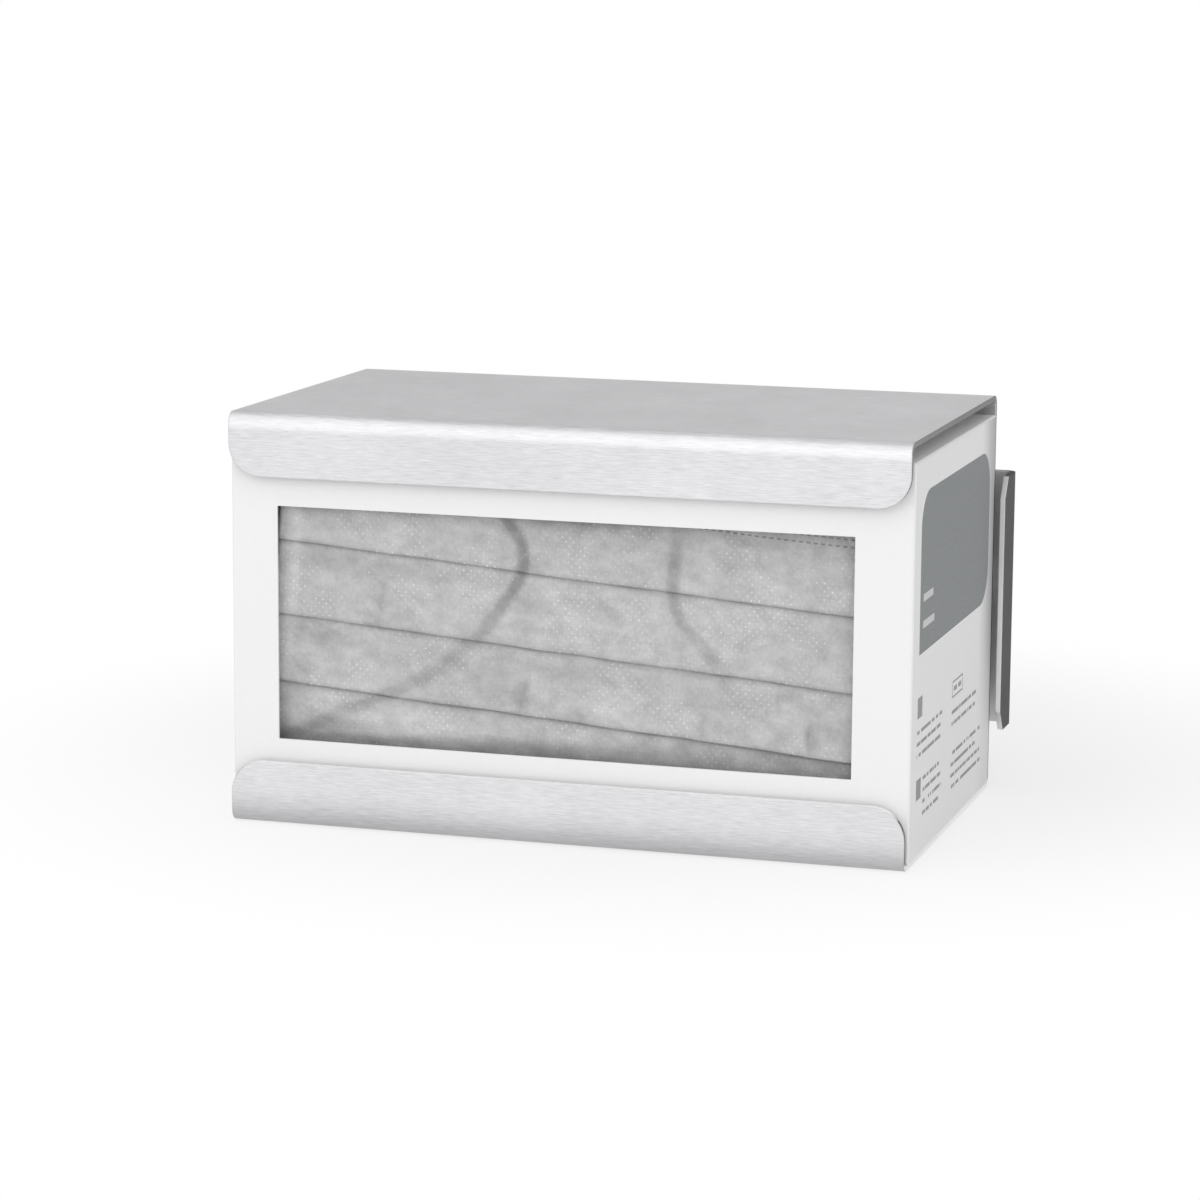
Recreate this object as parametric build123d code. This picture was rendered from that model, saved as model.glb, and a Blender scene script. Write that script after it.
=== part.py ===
from build123d import *
import os

# Wall dispenser for face masks, in millimetres.
# X runs to the right along the front, Y towards the wall and Z up.
# The origin is the centre of the wall bracket's back face, on the wall.

# One mask: a pleated sheet with bound ends and two ear loops
mask_width = 175.0
mask_height = 90.0
ply = 0.35
layer_pitch = 0.55
pleat_count = 3
first_pleat = 26.4
pleat_spacing = 19.6
pleat_overlap = 11.0
binding_width = 3.0
loop_width = 3.0
loop_thickness = 0.5
loop_air = 0.05
loop_reach = 66.0
loop_inset = 3.0
loop_drop = 24.0
loop_round = 9.0

# The stack of masks in the carton
mask_count = 37
mask_gap = 0.7
front_slack = 2.9
stack_clearance = 0.2
front_mask_tilt = 4.3
front_mask_shift = -1.0

# Carton of folded board
board = 0.6
fold_bevel = 0.4
end_space = 7.4
head_space = 15.8
dust_flap = 38.0
glue_flap = 14.0
window_left = 13.3
window_right = 15.9
window_bottom = 22.0
window_top = 20.1

# Holder, one folded steel sheet
sheet = 1.5
bend_inner = 1.7
carton_overhang = 0.5
lip_height = 17.4
lip_corner = 9.0
front_clearance = 1.7
top_clearance = 4.0

# Screws that fix the holder to its bracket
screw_radius = 2.0
screw_length = 8.0
screw_clearance = 0.25
head_radius = 4.0
head_height = 1.2
socket_width = 2.5
socket_depth = 0.7
head_clearance = 0.3

# Standoffs pressed into the bracket
standoff_length = 14.0
standoff_width = 9.0
spigot_radius = 3.2
thread_clearance = 0.05
bore_spare = 2.0
fixing_inset = 35.0

# Wall bracket, one folded steel sheet
bracket_sheet = 1.5
bracket_bend_inner = 1.7
bracket_height = 74.0
bracket_rise = 16.2
bracket_side_gap = 1.9
chamfer_depth = 4.5
chamfer_height = 6.0
wall_slot_length = 12.0
wall_slot_radius = 2.75
wall_slot_inset = 15.0

# Sizes that follow from the ones above
body_depth = 2 * layer_pitch + ply
loop_back = body_depth + loop_air + loop_thickness
mask_pitch = loop_back + mask_gap
carton_length = mask_width + 2 * (end_space + board)
carton_height = mask_height + head_space + 2 * board
stack_depth = mask_count * mask_pitch - mask_gap
carton_depth = 3 * board + front_slack + stack_depth + stack_clearance
rear_clearance = head_height + head_clearance
holder_width = carton_length - 2 * carton_overhang
holder_depth = 2 * sheet + front_clearance + carton_depth + rear_clearance
holder_height = 2 * sheet + carton_height + top_clearance
fixing_spacing = holder_width - 2 * fixing_inset
wall_spacing = holder_width - 2 * wall_slot_inset

# Places of the main planes
wall_plate_front = -bracket_sheet
holder_back = wall_plate_front - standoff_length
holder_front = holder_back - holder_depth
back_plate_front = holder_back - sheet
holder_bottom = -bracket_height / 2 - bracket_rise
carton_front = holder_front + sheet + front_clearance
carton_bottom = holder_bottom + sheet
stack_front = carton_front + board + front_slack
mask_floor = carton_bottom + board + stack_clearance


def in_a_row(spacing):
    """Places of a pair of fixings, one each side of the middle."""
    return [(-spacing / 2, 0.0), (spacing / 2, 0.0)]


def along_y(radius, near, far, x, z):
    """Round bar or bore along Y from near to far."""
    bar = extrude(Circle(radius), far - near)
    return Pos(x, near, z) * Rot(-90, 0, 0) * bar


def make_holder():
    """Sheet folded into a C: back, top and bottom plates, and a lip on each."""
    outer = RectangleRounded(holder_depth, holder_height, bend_inner + sheet)
    inner = RectangleRounded(holder_depth - 2 * sheet, holder_height - 2 * sheet, bend_inner)
    mouth_height = holder_height - 2 * lip_height
    mouth = Pos(-holder_depth / 2, 0) * Rectangle(holder_depth, mouth_height)
    section = outer - inner - mouth
    holder = extrude(Plane.YZ * section, holder_width / 2, both=True)

    lip_ends = holder.edges().filter_by(Axis.Y).filter_by(
        lambda edge: abs(abs(edge.center().Z) - mouth_height / 2) < sheet / 10
    )
    holder = fillet(lip_ends, lip_corner)
    holder = Pos(0, (holder_front + holder_back) / 2, holder_bottom + holder_height / 2) * holder

    for x, z in in_a_row(fixing_spacing):
        radius = screw_radius + screw_clearance
        holder -= along_y(radius, back_plate_front - sheet, holder_back + sheet, x, z)
    return holder


def make_bracket():
    """Sheet folded into a U that opens forward, with its back on the wall."""
    inner_width = holder_width + 2 * bracket_side_gap
    outer_width = inner_width + 2 * bracket_sheet
    depth = -back_plate_front

    plan_outer = Pos(0, -depth / 2) * Rectangle(outer_width, depth)
    plan_outer = fillet(plan_outer.vertices().group_by(Axis.Y)[-1], bracket_bend_inner + bracket_sheet)
    plan_inner = Pos(0, -depth / 2 - bracket_sheet) * Rectangle(inner_width, depth)
    plan_inner = fillet(plan_inner.vertices().group_by(Axis.Y)[-1], bracket_bend_inner)
    channel = extrude(plan_outer - plan_inner, bracket_height / 2, both=True)

    half = bracket_height / 2
    side = Polyline(
        (0, half),
        (-depth + chamfer_depth, half),
        (-depth, half - chamfer_height),
        (-depth, -half + chamfer_height),
        (-depth + chamfer_depth, -half),
        (0, -half),
        close=True,
    )
    bracket = channel & extrude(Plane.YZ * make_face(side), outer_width, both=True)

    for x, z in in_a_row(fixing_spacing):
        bracket -= along_y(spigot_radius, wall_plate_front - bracket_sheet, bracket_sheet, x, z)
    slot = SlotOverall(wall_slot_length, 2 * wall_slot_radius)
    for x, z in in_a_row(wall_spacing):
        bracket -= Pos(x, 0, z) * extrude(Plane.XZ * slot, 2 * bracket_sheet, both=True)
    return bracket


def make_standoffs():
    """Hexagon standoffs with a spigot pressed flush into the wall plate."""
    hexagon = RegularPolygon(standoff_width / 2, 6, major_radius=False)
    standoff = extrude(Circle(spigot_radius), bracket_sheet)
    standoff += Pos(0, 0, bracket_sheet) * extrude(hexagon, standoff_length)
    bore_depth = screw_length - sheet + bore_spare
    bore = extrude(Circle(screw_radius + thread_clearance), bore_depth)
    standoff -= Pos(0, 0, bracket_sheet + standoff_length - bore_depth) * bore
    return [
        Pos(x, 0, z) * Rot(90, 0, 0) * standoff
        for x, z in in_a_row(fixing_spacing)
    ]


def make_screws():
    """Low-head screws with a hexagon socket, driven from inside the holder."""
    profile = Polyline(
        (0, -screw_length),
        (screw_radius, -screw_length),
        (screw_radius, 0),
        (head_radius, 0),
        (head_radius, head_height),
        (0, head_height),
        close=True,
    )
    screw = revolve(Plane.XZ * make_face(profile), Axis.Z)
    socket = extrude(RegularPolygon(socket_width / 2, 6, major_radius=False), socket_depth)
    screw -= Pos(0, 0, head_height - socket_depth) * socket
    return [
        Pos(x, back_plate_front, z) * Rot(90, 0, 0) * screw
        for x, z in in_a_row(fixing_spacing)
    ]


def make_carton():
    """Glued carton of folded board with a window cut in its front."""
    centre = Pos(0, carton_front + carton_depth / 2, carton_bottom + carton_height / 2)
    inner_length = carton_length - 2 * board
    inner_depth = carton_depth - 2 * board
    inner_height = carton_height - 2 * board
    outside = Box(carton_length, carton_depth, carton_height)
    carton = chamfer(outside.edges(), fold_bevel) - Box(inner_length, inner_depth, inner_height)

    for end in (-1, 1):
        for face in (-1, 1):
            flap = Box(board, dust_flap, inner_height)
            x = end * (inner_length - board) / 2
            y = face * (inner_depth - dust_flap) / 2
            carton += Pos(x, y, 0) * flap
    seam = Box(inner_length, board, glue_flap)
    carton += Pos(0, (inner_depth - board) / 2, (glue_flap - inner_height) / 2) * seam

    window_width = carton_length - window_left - window_right
    window_height = carton_height - window_bottom - window_top
    window_x = (window_left - window_right) / 2
    window_z = (window_bottom - window_top) / 2
    carton -= Pos(window_x, -carton_depth / 2, window_z) * Box(window_width, 4 * board, window_height)
    return centre * carton


def pleated_section():
    """End view of the pleated sheet: each panel laps over the next one below."""
    front = ply / 2
    line = [(front + layer_pitch, mask_height)]
    for pleat in range(pleat_count):
        edge = mask_height - first_pleat - pleat * pleat_spacing
        line.append((front, edge))
        line.append((front + 2 * layer_pitch, edge + pleat_overlap))
    line.append((front + layer_pitch, 0))

    section = Sketch()
    for (near_y, near_z), (far_y, far_z) in zip(line, line[1:]):
        panel = Polyline(
            (near_y - ply / 2, near_z),
            (near_y + ply / 2, near_z),
            (far_y + ply / 2, far_z),
            (far_y - ply / 2, far_z),
            close=True,
        )
        section += make_face(panel)
    return section


def make_loop(rounded):
    """Flat ear loop of the right end, folded in behind the mask."""
    end = mask_width / 2
    low = loop_inset
    high = mask_height - loop_inset
    tip = end - loop_reach
    points = [(end + loop_width, low), (tip, high - loop_drop), (tip, high), (end + loop_width, high)]
    if rounded:
        points[1:3] = [
            (tip + loop_reach / 2, low + loop_drop / 2),
            (tip, high - loop_drop),
            (tip + loop_width, high),
        ]
    outer = make_face(Polyline(*points, close=True))
    inner = offset(outer, -loop_width, kind=Kind.INTERSECTION)
    if rounded:
        corners = outer.vertices().group_by(Axis.X)
        outer = fillet(corners[0] + corners[1], loop_round)
    band = (outer - inner) & Rectangle(mask_width, 2 * mask_height)
    return Pos(0, loop_back, 0) * Rot(90, 0, 0) * extrude(band, loop_thickness)


def make_mask(rounded_loops):
    """One mask, standing with its front at y = 0 and its lower edge at z = 0."""
    mask = extrude(Plane.YZ * pleated_section(), mask_width / 2, both=True)
    loop = make_loop(rounded_loops)
    binding_depth = body_depth + 2 * loop_air
    for end in (-1, 1):
        x = end * (mask_width - binding_width) / 2
        binding = Box(binding_width, binding_depth, mask_height)
        mask += Pos(x, binding_depth / 2, mask_height / 2) * binding
    return mask + loop + mirror(loop, Plane.YZ)


def save(solids, name):
    """Write one named node, a single solid or a group of separate solids."""
    group = Compound(children=solids) if isinstance(solids, list) else solids
    export_step(group, os.path.join("parts", name + ".step"))


def main():
    os.makedirs("parts", exist_ok=True)
    save(make_holder(), "holder_shell")
    save(make_bracket(), "wall_bracket")
    save(make_standoffs(), "bracket_standoffs")
    save(make_screws(), "holder_screws")
    save(make_carton(), "mask_carton")

    front_mask = Rot(0, front_mask_tilt, 0) * make_mask(True)
    drop = front_mask.bounding_box().min.Z
    save(Pos(front_mask_shift, stack_front, mask_floor - drop) * front_mask, "mask_01")
    plain_mask = make_mask(False)
    for number in range(2, mask_count + 1):
        y = stack_front + (number - 1) * mask_pitch
        save(Pos(0, y, mask_floor) * plain_mask, f"mask_{number:02d}")


main()
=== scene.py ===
import math

import bpy
from mathutils import Matrix, Vector, noise


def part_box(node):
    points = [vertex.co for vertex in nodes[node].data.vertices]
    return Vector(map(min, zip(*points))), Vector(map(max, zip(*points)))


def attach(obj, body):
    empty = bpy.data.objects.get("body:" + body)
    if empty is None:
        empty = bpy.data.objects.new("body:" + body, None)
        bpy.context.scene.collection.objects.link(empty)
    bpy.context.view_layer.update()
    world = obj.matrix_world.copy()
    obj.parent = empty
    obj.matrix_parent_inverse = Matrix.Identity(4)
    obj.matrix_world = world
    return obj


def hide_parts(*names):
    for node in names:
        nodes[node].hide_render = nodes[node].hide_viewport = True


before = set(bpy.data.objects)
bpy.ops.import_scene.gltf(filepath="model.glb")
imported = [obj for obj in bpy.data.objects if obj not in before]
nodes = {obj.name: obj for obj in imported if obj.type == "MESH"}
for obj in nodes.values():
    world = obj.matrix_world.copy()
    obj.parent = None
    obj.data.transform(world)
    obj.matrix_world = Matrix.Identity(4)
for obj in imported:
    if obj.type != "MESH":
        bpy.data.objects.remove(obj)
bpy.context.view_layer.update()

# Lengths named here are in millimetres. Blender's are in metres.
MM = 0.001
STEEL_TINT = 0.014

# Camera, at the photograph's angle
CAMERA_YAW = math.radians(-17.0431)
CAMERA_PITCH = math.radians(10.0765)
CAMERA_ROLL = math.radians(-0.3701)
CAMERA_FOCUS = 3880.24 / 1200
SENSOR = 36.0
CAMERA_POINT = Vector((5.0, -125.8, 1.8))
CAMERA_OFFSET = Vector((-5.8670, 12.6964, 1035.9916))

# Strength of the studio's light from each side
SKY_SIDE = 0.34
SKY_FRONT = 0.92
SKY_BACK = 0.62
SKY_TOP = 0.68

# Lamps: place, size in metres and power
LAMP_TARGET = (0.0, -0.08, 0.0)
KEY_PLACE = (-0.55, -1.25, 1.25)
KEY_SIZE = (3.0, 2.2)
KEY_POWER = 12.5
FILL_PLACE = (0.95, -1.1, 0.5)
FILL_SIZE = (0.9, 0.9)
FILL_POWER = 2.2

# The floor turns to plain white between these distances from the object, in metres,
# and this much of the white is there from the start
FLOOR_NEAR = 0.12
FLOOR_FAR = 0.25
FLOOR_WHITE = 0.68
FLOOR_HALF = 15.0
FLOOR_DROP = 0.0002

# Brushed steel: brush lines per metre along and across them, and tones of the plain steel
FINE_LINES = (330.0, 5000.0)
BROAD_LINES = (170.0, 2600.0)
HOLDER_TONES = (0.62, 0.90)
# Holder: tone of the painted shade on its cut ends, tone of the bottom plate's cut ends, and
# radius of its eased bends in millimetres
HOLDER_END_EDGE_SHADE = 0.16
HOLDER_BOTTOM_EDGE = 0.9
HOLDER_EASED = 5.0
# Bracket: tones of painted shade inside it, the painted highlight on its front edges, how far its
# back turns paler and the tones there, and a rim tint that darkens its reflections as painted
# shade
BRACKET_SHADE_TONES = (0.15, 0.23)
BRACKET_FRONT_EDGE_HIGHLIGHT = 0.85
BRACKET_REAR = 0.85
BRACKET_REAR_TONES = (0.42, 0.6)
BRACKET_SHADED_RIM = 0.35
BEVEL = 0.4

# Plain shapes on the carton's right end, in millimetres back from its front and down from its
# top, each left, right, top and bottom. A row block also has its number of rows and a seed.
FIELD = (8.0, 97.1, 8.9, 52.1)
FIELD_CORNER = 10.3
FIELD_COLOUR = (0.205, 0.22, 0.225)
PALE_BARS = ((12.0, 24.0, 36.4, 38.4), (12.0, 26.0, 43.6, 45.6))
BLOCKS = ((7.5, 13.2, 63.6, 69.2), (7.5, 13.2, 85.8, 91.4))
FRAME_OUTER = (51.7, 65.3, 67.3, 72.0)
FRAME_INNER = (52.2, 64.8, 67.8, 71.5)
FRAME_BLOCKS = ((53.6, 57.6, 69.0, 70.3), (59.4, 63.4, 69.0, 70.3))
ROW_BLOCKS = (
    (7.3, 45.8, 71.6, 81.0, 3, 1.7),
    (51.5, 91.5, 74.6, 81.0, 2, 12.1),
    (15.6, 41.6, 85.2, 98.0, 4, 23.9),
    (51.5, 94.0, 86.2, 98.8, 4, 36.4),
)
SOFT_EDGE = 0.06

# Front mask, in its own plane: x along it, z up it and y behind its front
MASK_WIDTH = 175.0
MASK_HEIGHT = 90.0
MASK_TILT = math.radians(4.3)
PLY = 0.3
PLEAT_EDGES = (63.8, 43.2, 24.6)
PLEAT_OVERLAP = 11.0
LAYER_PITCH = 0.55
WELD_ROWS = (6.4, 8.4)
WELD_PITCH = 2.0
WELD_DASH = 1.15
WELD_HALF = (0.16, 0.34)
WELD_STRENGTH = 0.45
CLOTH_STEP = 0.9
FOLD_ROWS = 4
FOLD_TURN = 0.35
PLEAT_SHADE = 0.40
PLEAT_REACH = 1.3
HIDDEN_ROWS = 5
HELD_ENDS = 12.0
HELD_HEMS = 6.0
SWAY = 0.35

# Fabric: the flat map's unit, bonds in one unit, how their lattice turns, where a bond's edge
# starts and ends in its cell, and the tones between the bonds
FLAT_UNIT = 100.0
BONDS = 65.0
BOND_TURN = math.radians(43.0)
BOND_EDGE = (0.09, 0.21)
CLOTH_TONES = (0.50, 0.76)

# Waves of the front mask: pace along x, share of z in it, pace up z, seed, height and tone; the
# tone is painted light where a wave stands forward and painted shade where it sinks back
WAVES = (
    (0.030, 0.0, 0.045, 3.1, 0.55, 0.08),
    (0.075, 0.03, 0.10, 7.7, 0.36, 0.09),
    (0.20, 0.0, 0.34, 1.3, 0.16, 0.09),
    (0.45, 0.0, 0.75, 5.9, 0.05, 0.06),
)
# The lowest panel bellies forward: by how much, at which height and over which
BELLY = (1.1, 19.0, 7.0)
# Height, offset and width of the ridge beside a loop or crease, and depth, offset and width of the
# dark band of painted shade on it
LOOP_RIDGE = (0.5, 1.2, 1.8)
LOOP_BAND = (0.42, -0.4, 1.9)
CREASE_RIDGE = (0.22, 0.8, 0.9)
CREASE_BAND = (0.16, 0.0, 0.8)
LOW_DEPTH = 0.34
FIELD_TONE = 0.84

# Ear loops behind the front mask, as points on its plane: x, z and how much they press through
LOOPS = {
    "left": (
        (-84.0, 83.5, 0.0), (-70.0, 85.5, 0.0), (-50.0, 86.8, 0.0), (-34.0, 87.0, 0.0),
        (-27.0, 84.6, 0.5), (-22.4, 78.1, 0.8), (-16.8, 70.6, 1.0), (-16.7, 62.7, 1.0),
        (-20.6, 54.5, 0.9), (-24.2, 48.4, 0.75), (-31.7, 39.9, 0.5), (-40.3, 32.4, 0.45),
        (-49.9, 25.7, 0.5), (-58.6, 20.6, 0.65), (-66.5, 16.6, 0.6), (-78.1, 9.8, 0.5),
        (-84.0, 6.5, 0.3),
    ),
    "right": (
        (84.0, 83.5, 0.0), (68.0, 85.5, 0.0), (48.0, 86.8, 0.0), (32.0, 86.5, 0.2),
        (25.9, 82.0, 0.15), (25.0, 73.8, 0.6), (25.5, 62.0, 0.7), (28.5, 55.3, 0.6),
        (34.5, 49.8, 0.5), (40.0, 43.3, 0.25), (46.7, 35.9, 0.08), (55.3, 28.7, 0.05),
        (67.0, 19.0, 0.0), (84.0, 6.5, 0.0),
    ),
}
LOOP_WIDTH = 3.0
WINDOW_SILL = 22.0
LOOP_NEAR = 1.55
LOOP_BACK = 2.0
BINDING_WIDTH = 3.0
BINDING_NEAR = 0.95
CREASES = (
    ((-56.1, 54.8, 1.0), (-56.4, 48.9, 0.9), (-56.5, 43.5, 0.7)),
    ((-12.6, 34.9, 0.6), (-13.7, 30.4, 0.8), (-14.6, 25.4, 0.6)),
    ((66.3, 33.5, 1.0), (65.8, 29.5, 1.4), (66.5, 26.1, 0.8)),
    ((-1.0, 78.0, 0.5), (-3.0, 70.0, 0.6), (-2.0, 65.0, 0.4)),
    ((38.0, 33.0, 0.5), (36.5, 28.5, 0.9), (37.5, 25.0, 0.5)),
)
# Broad soft patches of painted light and shade on the front mask: x, z, half width, half height
# and how much lighter
PAINTED_LIGHT_AND_SHADE = (
    (-60.0, 59.0, 34.0, 3.2, -0.15),
    (-14.4, 29.6, 2.6, 4.6, -0.17),
    (-84.0, 52.0, 3.4, 34.0, 0.26),
    (-9.5, 29.0, 3.4, 4.0, 0.06),
    (66.8, 30.0, 2.0, 3.2, -0.16),
    (-8.0, 84.0, 26.0, 6.0, -0.42),
    (-75.0, 38.5, 13.0, 3.0, -0.16),
    (2.0, 38.0, 15.0, 3.5, -0.17),
    (-46.0, 17.5, 20.0, 3.4, 0.13),
    (-68.0, 13.5, 9.0, 3.0, -0.14),
    (-45.0, 48.5, 9.0, 5.0, 0.07),
    (-2.0, 50.0, 11.0, 5.0, 0.07),
    (55.0, 72.0, 16.0, 5.0, -0.06),
    (62.0, 80.0, 26.0, 2.5, -0.10),
    (18.0, 29.0, 12.0, 3.5, 0.08),
    (60.0, 47.0, 15.0, 5.0, 0.06),
    (-35.0, 78.0, 13.0, 6.0, 0.07),
)
# Height above the window's lower edge over which the mask darkens, at points along it
LOW_SHADE = ((-82.0, 4.2), (-70.0, 2.5), (-52.0, 2.2), (-36.0, 3.4), (-10.0, 4.4), (10.0, 5.6),
             (30.0, 8.4), (60.0, 8.8), (82.0, 8.0))


def link(obj):
    bpy.context.scene.collection.objects.link(obj)
    return obj


def make_camera():
    yaw, pitch, roll = CAMERA_YAW, CAMERA_PITCH, CAMERA_ROLL
    level = math.cos(pitch)
    ahead = Vector((math.sin(yaw) * level, math.cos(yaw) * level, -math.sin(pitch)))
    right = Vector((math.cos(yaw), -math.sin(yaw), 0.0))
    down = ahead.cross(right)
    across = right * math.cos(roll) + down * math.sin(roll)
    below = down * math.cos(roll) - right * math.sin(roll)
    offset = across * CAMERA_OFFSET.x + below * CAMERA_OFFSET.y + ahead * CAMERA_OFFSET.z
    data = bpy.data.cameras.new("camera")
    data.sensor_width = SENSOR
    data.lens = CAMERA_FOCUS * SENSOR
    data.clip_start = 0.05
    data.clip_end = 60.0
    camera = link(bpy.data.objects.new("camera", data))
    axes = Matrix((across, -below, -ahead)).transposed()
    camera.matrix_world = Matrix.Translation((CAMERA_POINT - offset) * MM) @ axes.to_4x4()
    bpy.context.scene.camera = camera


class Graph:
    """Short names for adding and joining the nodes of one material."""

    def __init__(self, name):
        self.material = bpy.data.materials.new(name)
        self.material.use_nodes = True
        self.tree = self.material.node_tree
        self.shader = self.tree.nodes["Principled BSDF"]

    def node(self, kind, **settings):
        made = self.tree.nodes.new("ShaderNode" + kind)
        for key, value in settings.items():
            setattr(made, key, value)
        return made

    def join(self, source, target):
        if isinstance(source, bpy.types.NodeSocket):
            self.tree.links.new(source, target)
        else:
            target.default_value = source

    def math(self, operation, first, second=0.0, third=0.0, clamp=False):
        made = self.node("Math", operation=operation, use_clamp=clamp)
        for value, socket in zip((first, second, third), made.inputs):
            self.join(value, socket)
        return made.outputs[0]

    def remap(self, value, low, high, to_low, to_high, smooth=False):
        made = self.node("MapRange", interpolation_type="SMOOTHSTEP" if smooth else "LINEAR")
        for item, socket in zip((value, low, high, to_low, to_high), made.inputs):
            self.join(item, socket)
        return made.outputs[0]

    def place(self):
        return self.node("TexCoord").outputs["Object"]

    def normal(self):
        return self.node("NewGeometry").outputs["Normal"]

    def split(self, vector):
        """The three parts of a vector."""
        made = self.node("SeparateXYZ")
        self.join(vector, made.inputs[0])
        return made.outputs

    def combine(self, x=0.0, y=0.0, z=0.0):
        made = self.node("CombineXYZ")
        for value, socket in zip((x, y, z), made.inputs):
            self.join(value, socket)
        return made.outputs[0]

    def vector(self, operation, first, second=None):
        made = self.node("VectorMath", operation=operation)
        self.join(first, made.inputs[0])
        if second is not None:
            self.join(second, made.inputs[1])
        return made.outputs["Value" if operation in ("LENGTH", "DOT_PRODUCT") else "Vector"]

    def stretched(self, vector, scale, turn=(0.0, 0.0, 0.0)):
        made = self.node("Mapping")
        self.join(vector, made.inputs["Vector"])
        made.inputs["Scale"].default_value = scale
        made.inputs["Rotation"].default_value = turn
        return made.outputs[0]

    def noise(self, vector, scale=1.0, detail=2.0, rough=0.5):
        made = self.node("TexNoise")
        self.join(vector, made.inputs["Vector"])
        made.inputs["Scale"].default_value = scale
        made.inputs["Detail"].default_value = detail
        made.inputs["Roughness"].default_value = rough
        return made.outputs[0]

    def tone(self, factor, dark, light):
        """A colour between dark and light."""
        made = self.node("Mix", data_type="RGBA")
        self.join(factor, made.inputs["Factor"])
        for value, socket in ((dark, made.inputs[6]), (light, made.inputs[7])):
            self.join((*value, 1.0) if isinstance(value, tuple) else value, socket)
        return made.outputs[2]

    def bump(self, height, strength, distance, normal=None):
        made = self.node("Bump")
        made.inputs["Strength"].default_value = strength
        made.inputs["Distance"].default_value = distance
        self.join(height, made.inputs["Height"])
        if normal is not None:
            self.join(normal, made.inputs["Normal"])
        return made.outputs[0]

    def set(self, name, value):
        self.join(value, self.shader.inputs[name])


def grey(value, tint=0.0):
    return (value * (1 + tint), value, value * (1 + 1.5 * tint))


def folded_normal(g, spot, radius):
    """Normals of the holder's front bends, eased into the flat steel on both sides of each."""
    low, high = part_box("holder_shell")
    _, y, z = g.split(spot)
    reach = radius * MM
    ahead = g.math("MINIMUM", g.math("SUBTRACT", y, low.y + reach), 0.0)
    above = g.math("MAXIMUM", g.math("SUBTRACT", z, high.z - reach), 0.0)
    below = g.math("MINIMUM", g.math("SUBTRACT", z, low.z + reach), 0.0)
    unit = g.vector("NORMALIZE", g.combine(y=ahead, z=g.math("ADD", above, below)))
    plain = g.normal()
    alike = g.vector("DOT_PRODUCT", unit, plain)
    mix = g.node("Mix", data_type="VECTOR")
    g.join(g.math("GREATER_THAN", alike, 0.6), mix.inputs["Factor"])
    g.join(plain, mix.inputs[4])
    g.join(unit, mix.inputs[5])
    return mix.outputs[1]


def brushed(name, tones, lines="X", rim=1.0):
    """Stainless steel with fine brush lines along one axis: graph, place, lines and colour."""
    g = Graph(name)
    spot = g.place()

    def scales(along, across):
        return (along, across, across) if lines == "X" else (across, across, along)

    hairs = g.noise(g.stretched(spot, scales(*FINE_LINES)), 1.0, 3.0, 0.65)
    bands = g.noise(g.stretched(spot, scales(*BROAD_LINES)), 1.0, 2.0, 0.6)
    clouds = g.noise(spot, 45.0, 2.0, 0.5)
    mixed = g.math("MULTIPLY_ADD", hairs, 0.45, g.math("MULTIPLY", bands, 0.55))
    mixed = g.math("ADD", mixed, g.math("MULTIPLY_ADD", clouds, 0.16, -0.08))
    dark, light = (grey(tone, STEEL_TINT) for tone in tones)
    colour = g.tone(g.remap(mixed, 0.27, 0.73, 0.0, 1.0), dark, light)
    g.set("Metallic", 1.0)
    g.set("Specular Tint", (*grey(rim), 1.0))
    g.set("Roughness", g.remap(mixed, 0.3, 0.7, 0.30, 0.46))
    g.set("Anisotropic", 0.55)
    tangent = g.node("Tangent", direction_type="RADIAL", axis=lines)
    g.set("Tangent", tangent.outputs[0])
    return g, spot, mixed, colour


def finish_steel(g, colour, mixed, normal=None):
    """Colour and normals of brushed steel, with the edges softened."""
    g.set("Base Color", colour)
    edge = g.node("Bevel", samples=4)
    edge.inputs["Radius"].default_value = BEVEL * MM
    if normal is not None:
        g.join(normal, edge.inputs["Normal"])
    g.set("Normal", g.bump(mixed, 0.25, 0.02 * MM, edge.outputs[0]))
    return g.material


def holder_steel():
    """Steel of the holder, with a painted reflection darkening its lower bend, painted shade on
    most of its cut ends and a painted highlight on its lower lip's cut edge.
    """
    g, spot, mixed, colour = brushed("brushed_steel", HOLDER_TONES)
    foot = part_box("holder_shell")[0].z
    height = g.split(spot)[2]
    # Painted reflection: the lower bend is darkened as if it mirrored the darker ground under it
    painted_ground_reflection = g.remap(height, foot - 2 * MM, foot + 11 * MM, 0.62, 1.0, smooth=True)
    colour = g.tone(painted_ground_reflection, grey(0.0), colour)
    sideways, _, upwards = g.split(g.normal())
    # The cut ends are dark with painted shade, but for those of the bottom plate
    painted_end_shade = g.remap(g.math("ABSOLUTE", sideways), 0.25, 0.6, 0.0, 1.0)
    upper = g.remap(height, foot + 1.5 * MM, foot + 2.5 * MM, 0.0, 1.0)
    colour = g.tone(painted_end_shade, colour, g.tone(upper, grey(HOLDER_BOTTOM_EDGE), grey(HOLDER_END_EDGE_SHADE)))
    # Painted highlight: the lower lip's cut edge is painted bright beside the white board
    up = g.remap(upwards, 0.5, 0.8, 0.0, 1.0)
    above = g.math("GREATER_THAN", height, foot + 14 * MM)
    under = g.math("LESS_THAN", height, foot + 20 * MM)
    colour = g.tone(g.math("MULTIPLY", up, g.math("MULTIPLY", above, under)), colour, grey(1.0))
    return finish_steel(g, colour, mixed, folded_normal(g, spot, HOLDER_EASED))


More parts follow.
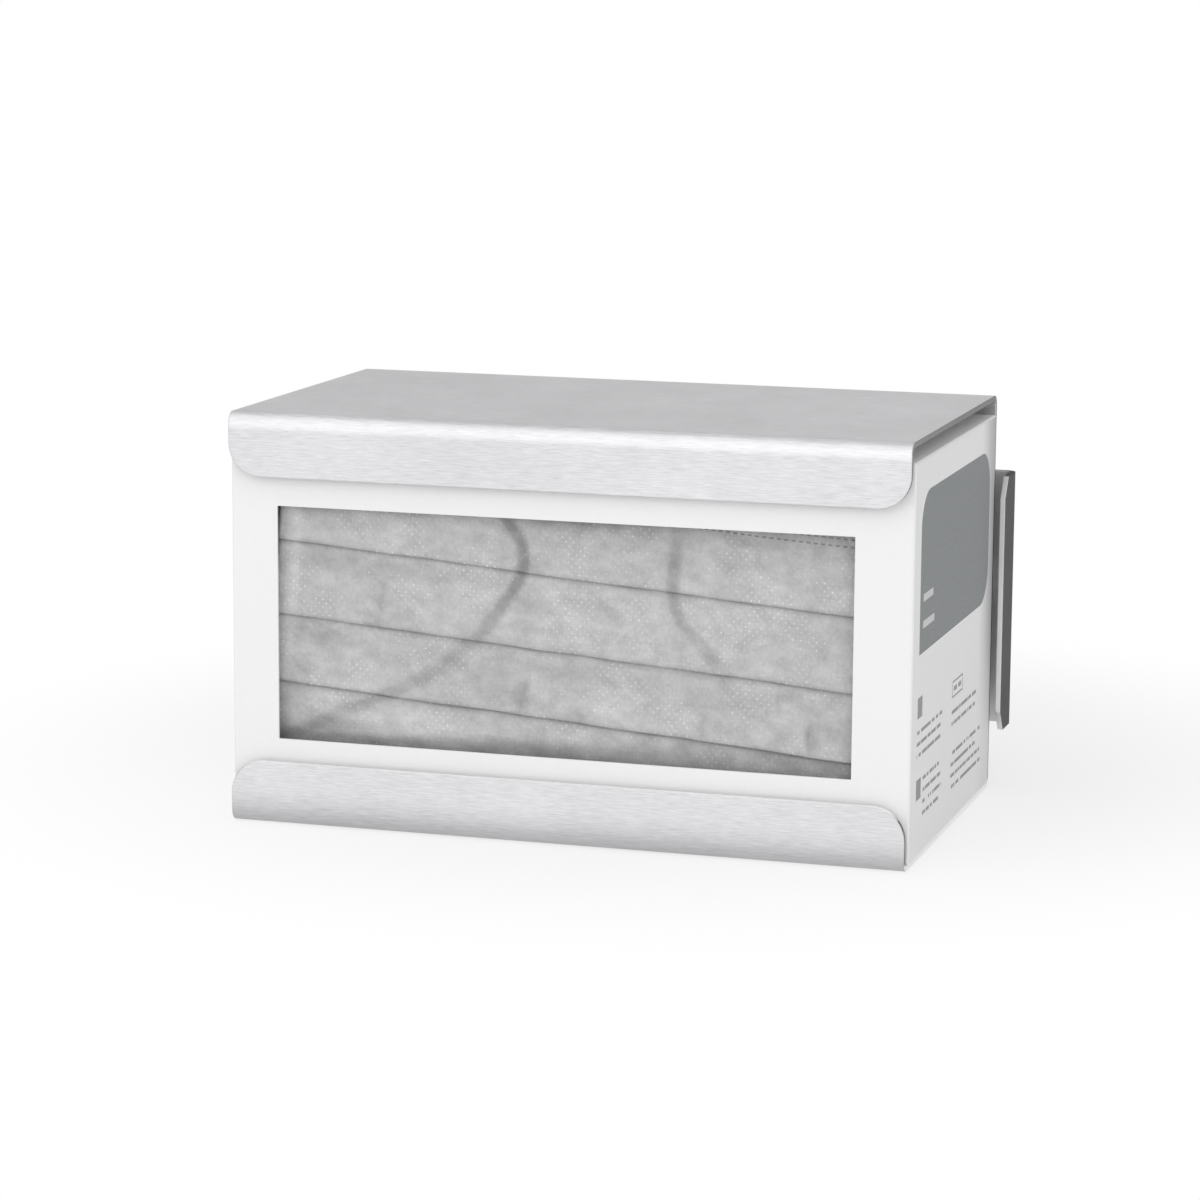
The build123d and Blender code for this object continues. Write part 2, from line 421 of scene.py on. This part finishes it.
def bracket_steel():
    """Steel of the bracket, darker inside it than on its cut edges and its back: painted shade
    inside, a painted highlight on its front edges and a paler steel on its back.
    """
    g, _, mixed, colour = brushed("bracket_steel", BRACKET_SHADE_TONES, "Z", BRACKET_SHADED_RIM)
    backwards = g.split(g.normal())[1]
    # Painted highlight on the cut edges that face forward
    ahead = g.remap(backwards, -0.45, -0.75, 0.0, 1.0)
    colour = g.tone(ahead, colour, grey(BRACKET_FRONT_EDGE_HIGHLIGHT))
    # Painted shade stays on the faces inside; the back turns to a paler steel
    behind = g.remap(backwards, 0.1, 0.9, 0.0, BRACKET_REAR)
    dark, light = (grey(tone) for tone in BRACKET_REAR_TONES)
    pale = g.tone(g.remap(mixed, 0.3, 0.7, 0.0, 1.0), dark, light)
    return finish_steel(g, g.tone(behind, colour, pale), mixed)


def turned(name):
    """Satin steel of the screws and standoffs, with faint turning rings."""
    g = Graph(name)
    spot = g.place()
    rings = g.noise(g.stretched(spot, (300.0, 5000.0, 300.0)), 1.0, 2.0, 0.5)
    g.set("Base Color", g.tone(rings, grey(0.48), grey(0.66)))
    g.set("Metallic", 1.0)
    g.set("Roughness", g.remap(rings, 0.3, 0.7, 0.28, 0.4))
    g.set("Normal", g.bump(rings, 0.3, 0.02 * MM))
    return g.material


def white_board():
    """Coated board, with a field of grey, rows of plain marks and painted shade towards the upper
    rear on the right end.
    """
    g = Graph("white_board")
    spot = g.place()
    low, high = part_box("mask_carton")
    x, y, z = g.split(spot)
    # Millimetres back from the carton's front and down from its top
    back = g.math("MULTIPLY_ADD", y, 1 / MM, -low.y / MM)
    down = g.math("MULTIPLY_ADD", z, -1 / MM, high.z / MM)
    outside = g.math("GREATER_THAN", x, high.x - 0.3 * MM)
    on_end = g.math("MULTIPLY", outside, g.math("GREATER_THAN", g.split(g.normal())[0], 0.9))

    def inside(value, start, end):
        """One between start and end, with a soft edge."""
        rise = g.remap(value, start - SOFT_EDGE, start + SOFT_EDGE, 0.0, 1.0)
        fall = g.remap(value, end - SOFT_EDGE, end + SOFT_EDGE, 1.0, 0.0)
        return g.math("MULTIPLY", rise, fall)

    def patch(left, right, top, bottom):
        return g.math("MULTIPLY", inside(back, left, right), inside(down, top, bottom))

    def rounded(left, right, top, bottom, radius):
        """Field with three round corners and a square one at the lower front."""
        squares = []
        for value, start, end in ((back, left, right), (down, top, bottom)):
            off = g.math("ABSOLUTE", g.math("SUBTRACT", value, (start + end) / 2))
            past = g.math("MAXIMUM", g.math("SUBTRACT", off, (end - start) / 2 - radius), 0.0)
            squares.append(g.math("MULTIPLY", past, past))
        reach = g.math("SQRT", g.math("ADD", *squares))
        body = g.remap(reach, radius - SOFT_EDGE, radius + SOFT_EDGE, 1.0, 0.0)
        corner = patch(left, (left + right) / 2, (top + bottom) / 2, bottom)
        return g.math("MAXIMUM", body, corner)

    def rows(left, right, top, bottom, count, seed):
        """Rows of short dashes, ragged on the right."""
        pitch = (bottom - top) / count
        place = g.math("DIVIDE", g.math("SUBTRACT", down, top), pitch)
        row, within = g.math("FLOOR", place), g.math("FRACT", place)
        stroke = g.math("MULTIPLY", g.math("GREATER_THAN", within, 0.3),
                        g.math("LESS_THAN", within, 0.62))
        key = g.combine(g.math("MULTIPLY", back, 0.62), g.math("MULTIPLY_ADD", row, 7.3, seed))
        gaps = g.math("GREATER_THAN", g.noise(key, 1.0, 0.0), 0.4)
        end = g.noise(g.combine(y=g.math("MULTIPLY_ADD", row, 3.1, seed + 5.0)), 1.0, 0.0)
        width = right - left
        ragged = g.math("MULTIPLY_ADD", end, -0.7 * width, right + 0.2 * width)
        short = g.math("LESS_THAN", back, ragged)
        shape = g.math("MULTIPLY", g.math("MULTIPLY", stroke, gaps), short)
        return g.math("MULTIPLY", shape, patch(left, right, top, bottom))

    def union(shapes):
        whole = shapes[0]
        for shape in shapes[1:]:
            whole = g.math("MAXIMUM", whole, shape)
        return whole

    def paint(colour, shape, strength, paint_colour):
        return g.tone(g.math("MULTIPLY", g.math("MULTIPLY", shape, on_end), strength),
                      colour, paint_colour)

    frame_line = g.math("SUBTRACT", patch(*FRAME_OUTER), patch(*FRAME_INNER))
    marks = [patch(*block) for block in BLOCKS]
    marks.append(union([frame_line] + [patch(*block) for block in FRAME_BLOCKS]))
    marks += [rows(*block) for block in ROW_BLOCKS]

    fibres = g.noise(g.stretched(spot, (900.0, 900.0, 900.0)), 1.0, 3.0, 0.6)
    cloud = g.noise(spot, 30.0, 2.0, 0.5)
    grain = g.math("MULTIPLY_ADD", fibres, 0.5, g.math("MULTIPLY", cloud, 0.5))
    paper = g.tone(grain, grey(0.90), grey(0.95))
    # Painted shade: the end is darker towards its upper rear
    painted_rear_shade = g.remap(back, 84.0, 104.0, 0.0, 0.62, smooth=True)
    painted_rear_shade = g.math("MULTIPLY", painted_rear_shade, g.remap(down, 55.0, 95.0, 1.0, 0.25, smooth=True))
    paper = g.tone(g.math("MULTIPLY", painted_rear_shade, on_end), paper, grey(0.2))
    colour = paint(paper, rounded(*FIELD, FIELD_CORNER), 1.0, FIELD_COLOUR)
    colour = paint(colour, union([patch(*bar) for bar in PALE_BARS]), 0.75, grey(0.8))
    colour = paint(colour, union(marks), 0.72, grey(0.06))
    g.set("Base Color", colour)
    g.set("Roughness", g.remap(fibres, 0.3, 0.7, 0.42, 0.55))
    g.set("Specular IOR Level", 0.4)
    g.set("Normal", g.bump(g.math("MULTIPLY_ADD", cloud, 6.0, fibres), 0.15, 0.03 * MM))
    return g.material


def nonwoven(name, flat_map):
    """Point-bonded fabric: soft fibres and a lattice of small bonded points."""
    g = Graph(name)
    spot = g.place()
    if flat_map:
        flat = g.node("UVMap", uv_map="flat").outputs[0]
    else:
        x, _, z = g.split(spot)
        unit = 1 / (FLAT_UNIT * MM)
        flat = g.combine(g.math("MULTIPLY", x, unit), g.math("MULTIPLY", z, unit))
    lattice = g.stretched(flat, (BONDS, BONDS, 1.0), (0.0, 0.0, BOND_TURN))
    centred = g.vector("SUBTRACT", g.vector("FRACTION", lattice), (0.5, 0.5, 0.0))
    away = g.vector("LENGTH", g.vector("MULTIPLY", centred, (1.0, 1.0, 0.0)))
    bond = g.remap(away, *BOND_EDGE, 1.0, 0.0, smooth=True)
    chance = g.node("TexWhiteNoise", noise_dimensions="2D")
    g.join(g.vector("FLOOR", lattice), chance.inputs["Vector"])
    some = g.remap(chance.outputs["Value"], 0.0, 1.0, 0.15, 1.0)

    patches = g.remap(g.noise(flat, 6.5, 3.0, 0.6), 0.44, 0.60, 0.08, 1.0, smooth=True)
    fibres = g.noise(g.stretched(flat, (110.0, 75.0, 1.0)), 1.0, 4.0, 0.7)
    soft = g.noise(g.stretched(flat, (16.0, 22.0, 1.0)), 1.0, 4.0, 0.65)
    mottled = g.math("MULTIPLY_ADD", fibres, 0.4, g.math("MULTIPLY", soft, 0.6))
    dark, light = (grey(tone) for tone in CLOTH_TONES)
    base = g.tone(g.remap(mottled, 0.3, 0.7, 0.0, 1.0), dark, light)
    lit = g.math("MULTIPLY", g.math("MULTIPLY", bond, some), patches)
    colour = g.tone(g.math("MULTIPLY", lit, 0.95), base, grey(1.0))
    if flat_map:
        x, y, _ = g.split(flat)
        along = g.math("FRACT", g.math("MULTIPLY", x, FLAT_UNIT / WELD_PITCH))
        dash = g.math("LESS_THAN", along, WELD_DASH / WELD_PITCH)
        for down in WELD_ROWS:
            off = g.math("ABSOLUTE", g.math("MULTIPLY_ADD", y, FLAT_UNIT, down))
            row = g.remap(off, *WELD_HALF, 1.0, 0.0, smooth=True)
            weld = g.math("MULTIPLY", g.math("MULTIPLY", row, dash), WELD_STRENGTH)
            colour = g.tone(weld, colour, grey(0.05))
        # The front mask's painted light and shade, stored as the tone of its mesh
        tone = g.node("Attribute", attribute_name="tone").outputs["Fac"]
        colour = g.tone(tone, grey(0.0), colour)
    g.set("Base Color", colour)
    g.set("Roughness", 0.85)
    g.set("Sheen Weight", 0.08)
    g.set("Sheen Roughness", 0.5)
    g.set("Specular IOR Level", 0.25)
    height = g.math("MULTIPLY_ADD", fibres, 0.5, g.math("MULTIPLY", soft, 1.2))
    height = g.math("MULTIPLY_ADD", bond, -0.8, height)
    g.set("Normal", g.bump(height, 0.6, 0.12 * MM))
    return g.material


def smooth_path(points, steps=8):
    """Points along a smooth curve through the given ones."""
    ends = [2 * Vector(points[0]) - Vector(points[1])] + [Vector(p) for p in points]
    ends.append(2 * ends[-1] - ends[-2])
    path = []
    for a, b, c, d in zip(ends, ends[1:], ends[2:], ends[3:]):
        for i in range(steps):
            t = i / steps
            path.append(0.5 * (2 * b + (c - a) * t + (2 * a - 5 * b + 4 * c - d) * t * t
                               + (3 * b - a - 3 * c + d) * t ** 3))
    path.append(ends[-2])
    return path


def between(points, x):
    """The value at x of a line through the given points."""
    for (x0, v0), (x1, v1) in zip(points, points[1:]):
        if x <= x1:
            return v0 + (v1 - v0) * max(0.0, x - x0) / (x1 - x0)
    return points[-1][1]


def make_cloth_field(sill):
    """Functions for how far the cloth stands forward and how dark it is at x, z."""
    loops = [smooth_path(points) for points in LOOPS.values()]
    creases = [smooth_path(points) for points in CREASES]

    def bell(value, shape, power=2):
        height, offset, width = shape
        return height * math.exp(-((value - offset) / width) ** power)

    def beside(paths, x, z):
        """Distance to the nearest path, on which side of it, and the path's strength there."""
        best, side, strength = 1e9, 0.0, 0.0
        for path in paths:
            for a, b in zip(path, path[1:]):
                ax, az = x - a.x, z - a.y
                dx, dz = b.x - a.x, b.y - a.y
                t = max(0.0, min(1.0, (ax * dx + az * dz) / (dx * dx + dz * dz)))
                ox, oz = ax - t * dx, az - t * dz
                away = ox * ox + oz * oz
                if away < best:
                    best, side = away, math.copysign(1.0, dx * oz - dz * ox)
                    strength = a.z + t * (b.z - a.z)
        return math.sqrt(best), side, strength

    def field(x, z):
        away, side, press = beside(loops, x, z)
        crease, _, depth = beside(creases, x, z)
        side = -side if x > 0 else side
        waves = [noise.noise(Vector((x * along + tilt * z, z * up, seed)))
                 for along, tilt, up, seed, _, _ in WAVES]
        _, folds, _, fine = waves
        out = press * bell(away * side, LOOP_RIDGE) + depth * bell(crease, CREASE_RIDGE)
        ragged = 0.45 * noise.noise(Vector((x * 0.25, z * 0.25, 21.0)))
        shade = 1.0 - press * bell(away * side + ragged, LOOP_BAND, 4)
        shade -= depth * bell(crease, CREASE_BAND)
        for wave, (_, _, _, _, height, tone) in zip(waves, WAVES):
            out += height * wave
            shade += tone * wave
        # Patches of painted light and shade
        for sx, sz, wide, high, amount in PAINTED_LIGHT_AND_SHADE:
            far = ((x - sx) / wide) ** 2 + ((z - sz) / high) ** 2
            if far < 6.0:
                shade += amount * math.exp(-far * far)
        # Close above the carton's lower front panel the mask is in shade
        height = z * math.cos(MASK_TILT) - x * math.sin(MASK_TILT) - sill
        reach = between(LOW_SHADE, x) * (1.0 + 0.25 * folds)
        dim = max(0.0, min(1.0, 1.15 - height / reach))
        if z < PLEAT_EDGES[-1]:
            shade -= LOW_DEPTH * dim * dim * (3 - 2 * dim) * (1.0 + 0.3 * fine)
        return out, FIELD_TONE * shade

    return field


def mask_profile():
    """The unfolded sheet from top to bottom: (y, z, how freely it moves, shade of the pleat)."""
    front = PLY / 2
    deep = front + 2 * LAYER_PITCH
    rows = []

    def run(start, end, count, free, pleat):
        for i in range(count):
            t = i / count
            y, z = (a + (b - a) * t for a, b in zip(start, end))
            below = max(0.0, pleat - z)
            rows.append((y, z, free, PLEAT_SHADE * math.exp(-(below / PLEAT_REACH) ** 2)))

    upper = (front + LAYER_PITCH, MASK_HEIGHT)
    above = 2 * MASK_HEIGHT
    for edge in PLEAT_EDGES:
        run(upper, (front, edge), round((upper[1] - edge) / CLOTH_STEP), 1.0, above)
        for i in range(FOLD_ROWS):
            angle = math.pi * i / FOLD_ROWS
            y = front + FOLD_TURN * (1 - math.cos(angle))
            z = edge - FOLD_TURN * math.sin(angle)
            rows.append((y, z, 1.0, PLEAT_SHADE * (i + 1) / FOLD_ROWS))
        top = (deep, edge + PLEAT_OVERLAP)
        run((front + 2 * FOLD_TURN, edge), top, HIDDEN_ROWS, 0.6, above)
        upper, above = top, edge
    run(upper, (front + LAYER_PITCH, 0.0), round(upper[1] / CLOTH_STEP), 1.0, above)
    rows.append((front + LAYER_PITCH, 0.0, 1.0, 0.0))
    return rows


def make_front_mask(material):
    low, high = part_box("mask_01")
    drop = MASK_WIDTH / 2 * math.sin(MASK_TILT) * MM
    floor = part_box("mask_carton")[0].z + WINDOW_SILL * MM
    field = make_cloth_field((floor - low.z - drop) / MM)
    rows = mask_profile()
    columns = round(MASK_WIDTH / CLOTH_STEP)
    lengths = [0.0]
    for (y0, z0, *_), (y1, z1, *_) in zip(rows, rows[1:]):
        lengths.append(lengths[-1] + math.hypot(y1 - y0, z1 - z0))

    verts, tones = [], []
    for y, z, free, pleat in rows:
        for i in range(columns + 1):
            x = MASK_WIDTH * (i / columns - 0.5)
            out, shade = field(x, z)
            # The bound ends and the hems are held flat
            hold = min(1.0, (MASK_WIDTH / 2 - abs(x)) / HELD_ENDS)
            hold = max(0.0, hold * min(1.0, z / HELD_HEMS, (MASK_HEIGHT - z) / HELD_HEMS))
            swell, middle, half = BELLY
            belly = swell * math.exp(-((z - middle) / half) ** 2)
            sway = SWAY * noise.noise(Vector((x * 0.05, z * 0.02, 11.0)))
            verts.append((x, y - free * hold * (out + belly), z + sway * hold))
            uneven = 1.0 + 0.5 * noise.noise(Vector((x * 0.12, z, 17.0)))
            tones.append(max(0.0, min(1.0, shade * (1.0 - pleat * uneven))))
    faces = []
    wide = columns + 1
    for r in range(len(rows) - 1):
        for i in range(columns):
            a = r * wide + i
            faces.append((a, a + 1, a + 1 + wide, a + wide))
    mesh = bpy.data.meshes.new("front_mask")
    mesh.from_pydata([Vector(v) * MM for v in verts], [], faces)
    flat = mesh.uv_layers.new(name="flat")
    for loop in mesh.loops:
        row, column = divmod(loop.vertex_index, wide)
        flat.data[loop.index].uv = (0.01 * MASK_WIDTH * column / columns, -0.01 * lengths[row])
    # Painted light and shade of the front mask, as a tone at each point
    layer = mesh.attributes.new("tone", "FLOAT", "POINT")
    layer.data.foreach_set("value", tones)
    mesh.shade_smooth()
    mesh.materials.append(material)
    piece = link(bpy.data.objects.new("front_mask", mesh))
    thick = piece.modifiers.new("ply", "SOLIDIFY")
    thick.thickness = PLY * MM
    thick.offset = 0.0

    middle = (low.x + high.x) / 2
    lean = (MASK_HEIGHT * math.sin(MASK_TILT)) / 2 * MM
    turn = Matrix.Rotation(MASK_TILT, 4, "Y")
    piece.matrix_world = Matrix.Translation((middle - lean, low.y, low.z + drop)) @ turn
    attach(piece, "root")
    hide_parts("mask_01")
    return piece, lengths[-1]


def make_band(name, path, width, near, far, placed, material):
    """Flat band along a path on the mask's plane, from near to far behind its front."""
    verts, faces = [], []
    for i, here in enumerate(path):
        way = path[min(i + 1, len(path) - 1)] - path[max(i - 1, 0)]
        across = Vector((-way.y, way.x)).normalized() * width / 2
        for side, y in ((1, near), (1, far), (-1, far), (-1, near)):
            verts.append((here.x + side * across.x, y, here.y + side * across.y))
    for i in range(len(path) - 1):
        for k in range(4):
            a, b = 4 * i + k, 4 * i + (k + 1) % 4
            faces.append((a, b, b + 4, a + 4))
    faces += [(3, 2, 1, 0), tuple(len(verts) - 4 + k for k in range(4))]
    mesh = bpy.data.meshes.new(name)
    mesh.from_pydata([Vector(v) * MM for v in verts], [], faces)
    mesh.materials.append(material)
    band = link(bpy.data.objects.new(name, mesh))
    band.matrix_world = placed
    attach(band, "root")
    return band


def make_bands(placed, material):
    """The front mask's ear loops and the bindings of its ends."""
    bands = []
    for side, points in LOOPS.items():
        bands.append(make_band("ear_loop_" + side, smooth_path(points), LOOP_WIDTH,
                               LOOP_NEAR, LOOP_BACK, placed, material))
    for side, end in (("left", -1), ("right", 1)):
        x = end * (MASK_WIDTH - BINDING_WIDTH) / 2
        path = [Vector((x, MASK_HEIGHT)), Vector((x, 0.0))]
        bands.append(make_band("mask_binding_" + side, path, BINDING_WIDTH,
                               BINDING_NEAR, LOOP_NEAR, placed, material))
    return bands


def area_light(name, place, size, power):
    data = bpy.data.lights.new(name, "AREA")
    data.shape = "RECTANGLE"
    data.size, data.size_y = size
    data.energy = power
    lamp = link(bpy.data.objects.new(name, data))
    lamp.location = place
    aim = Vector(LAMP_TARGET) - Vector(place)
    lamp.rotation_euler = aim.to_track_quat("-Z", "Y").to_euler()


def make_world():
    """Studio light, strongest from the front and weakest from the sides."""
    world = bpy.data.worlds.new("studio")
    bpy.context.scene.world = world
    world.use_nodes = True
    tree = world.node_tree
    glow = tree.nodes["Background"]
    aim = tree.nodes.new("ShaderNodeSeparateXYZ")
    tree.links.new(tree.nodes.new("ShaderNodeTexCoord").outputs["Generated"], aim.inputs[0])

    def sum_of(operation, first, second, third=0.0, clamp=False):
        made = tree.nodes.new("ShaderNodeMath")
        made.operation = operation
        made.use_clamp = clamp
        for value, socket in zip((first, second, third), made.inputs):
            if isinstance(value, float):
                socket.default_value = value
            else:
                tree.links.new(value, socket)
        return made.outputs[0]

    strength = SKY_SIDE
    for axis, sign, sky in (("Y", -1.0, SKY_FRONT), ("Y", 1.0, SKY_BACK), ("Z", 1.0, SKY_TOP)):
        part = sum_of("MULTIPLY", aim.outputs[axis], sign, clamp=True)
        strength = sum_of("MULTIPLY_ADD", sum_of("MULTIPLY", part, part), sky - SKY_SIDE, strength)
    glow.inputs[0].default_value = (1.0, 1.0, 1.0, 1.0)
    tree.links.new(strength, glow.inputs[1])


def make_floor():
    low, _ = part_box("holder_shell")
    g = Graph("pale_floor")
    spot = g.place()
    mottle = g.noise(spot, 3.0, 2.0, 0.5)
    g.set("Base Color", g.tone(mottle, grey(0.92), grey(0.95)))
    g.set("Roughness", 0.9)
    g.set("Specular IOR Level", 0.1)
    away = g.vector("LENGTH", spot)
    far = g.remap(away, FLOOR_NEAR, FLOOR_FAR, FLOOR_WHITE, 1.0, smooth=True)
    path = g.node("LightPath")
    seen = g.math("MAXIMUM", path.outputs["Is Camera Ray"], path.outputs["Is Glossy Ray"])
    seen = g.math("MAXIMUM", seen, path.outputs["Is Transmission Ray"])
    white = g.node("Emission")
    mix = g.node("MixShader")
    g.join(g.math("MULTIPLY", far, seen), mix.inputs[0])
    g.join(g.shader.outputs[0], mix.inputs[1])
    g.join(white.outputs[0], mix.inputs[2])
    g.join(mix.outputs[0], g.tree.nodes["Material Output"].inputs["Surface"])
    mesh = bpy.data.meshes.new("floor")
    corners = [(x * FLOOR_HALF, y * FLOOR_HALF) for x, y in ((-1, -1), (1, -1), (1, 1), (-1, 1))]
    mesh.from_pydata([(x, y, low.z - FLOOR_DROP) for x, y in corners], [], [(0, 1, 2, 3)])
    mesh.materials.append(g.material)
    link(bpy.data.objects.new("floor", mesh))


def wear(name, material):
    obj = nodes[name]
    obj.data.materials.clear()
    obj.data.materials.append(material)


bpy.context.scene.view_settings.view_transform = "Standard"
make_camera()
make_world()
make_floor()
area_light("key", KEY_PLACE, KEY_SIZE, KEY_POWER)
area_light("fill", FILL_PLACE, FILL_SIZE, FILL_POWER)

holder_metal = holder_steel()
bracket_metal = bracket_steel()
fixing_steel = turned("fixing_steel")
board = white_board()
fabric = nonwoven("mask_fabric", False)
front_fabric = nonwoven("front_mask_fabric", True)

for name, obj in nodes.items():
    if name == "holder_shell":
        wear(name, holder_metal)
    elif name == "wall_bracket":
        wear(name, bracket_metal)
    elif name in ("bracket_standoffs", "holder_screws"):
        wear(name, fixing_steel)
    elif name == "mask_carton":
        wear(name, board)
    else:
        wear(name, fabric)

front_mask, mask_length = make_front_mask(front_fabric)
make_bands(front_mask.matrix_world.copy(), fabric)
